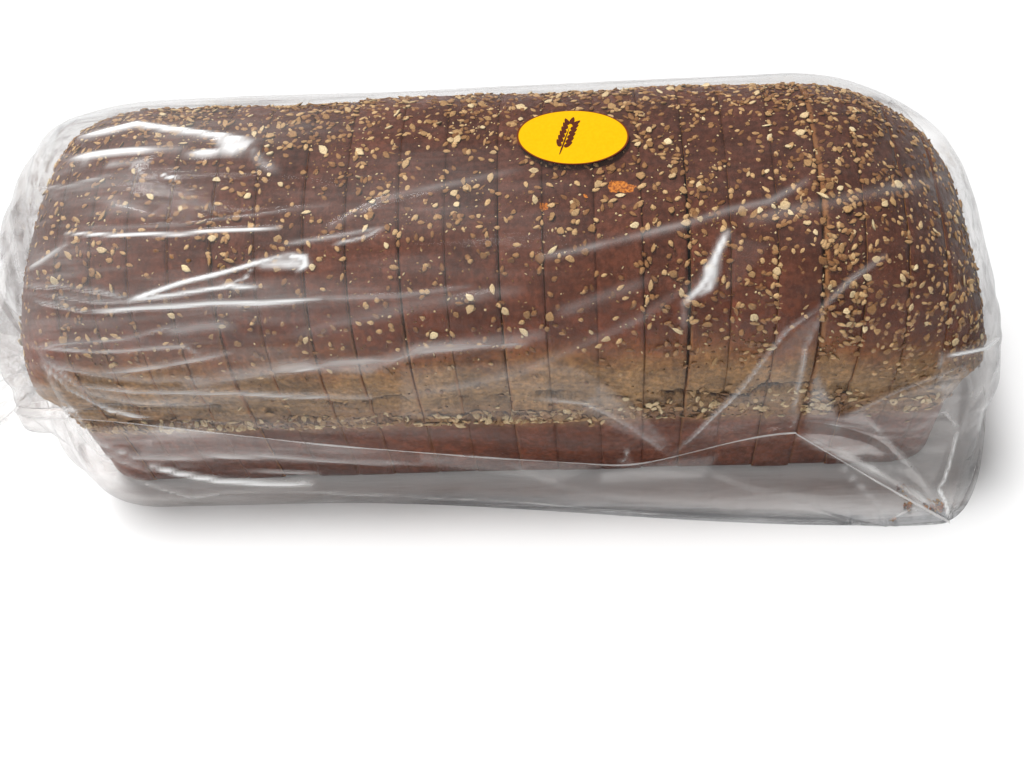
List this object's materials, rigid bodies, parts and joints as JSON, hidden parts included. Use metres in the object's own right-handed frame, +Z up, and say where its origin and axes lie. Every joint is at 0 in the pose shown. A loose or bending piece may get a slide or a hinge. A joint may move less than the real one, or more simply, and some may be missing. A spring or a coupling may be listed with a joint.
{
  "type": "loaf in bread bag",
  "caption": "Long seeded tin loaf, sliced, lying in a clear film bag that is gathered and twisted shut at one end, with a small oval label on top.",
  "frame": {"origin": "middle of the loaf's flat base, on the surface it lies on", "axes": "+X along the loaf to the bag's closed end, +Y to the back of the loaf, +Z up"},
  "size_m": [0.452, 0.1495, 0.1424],
  "materials": {
    "loaf_in_film": "gloss",
    "label_paper": "semi-gloss",
    "film": "gloss",
    "crust": "satin",
    "crumb": "matte",
    "sesame": "satin",
    "oat_flakes": "matte"
  },
  "bodies": {
    "root": {"bag": "loaf_in_film", "label": "label_paper"}
  },
  "joints": []
}
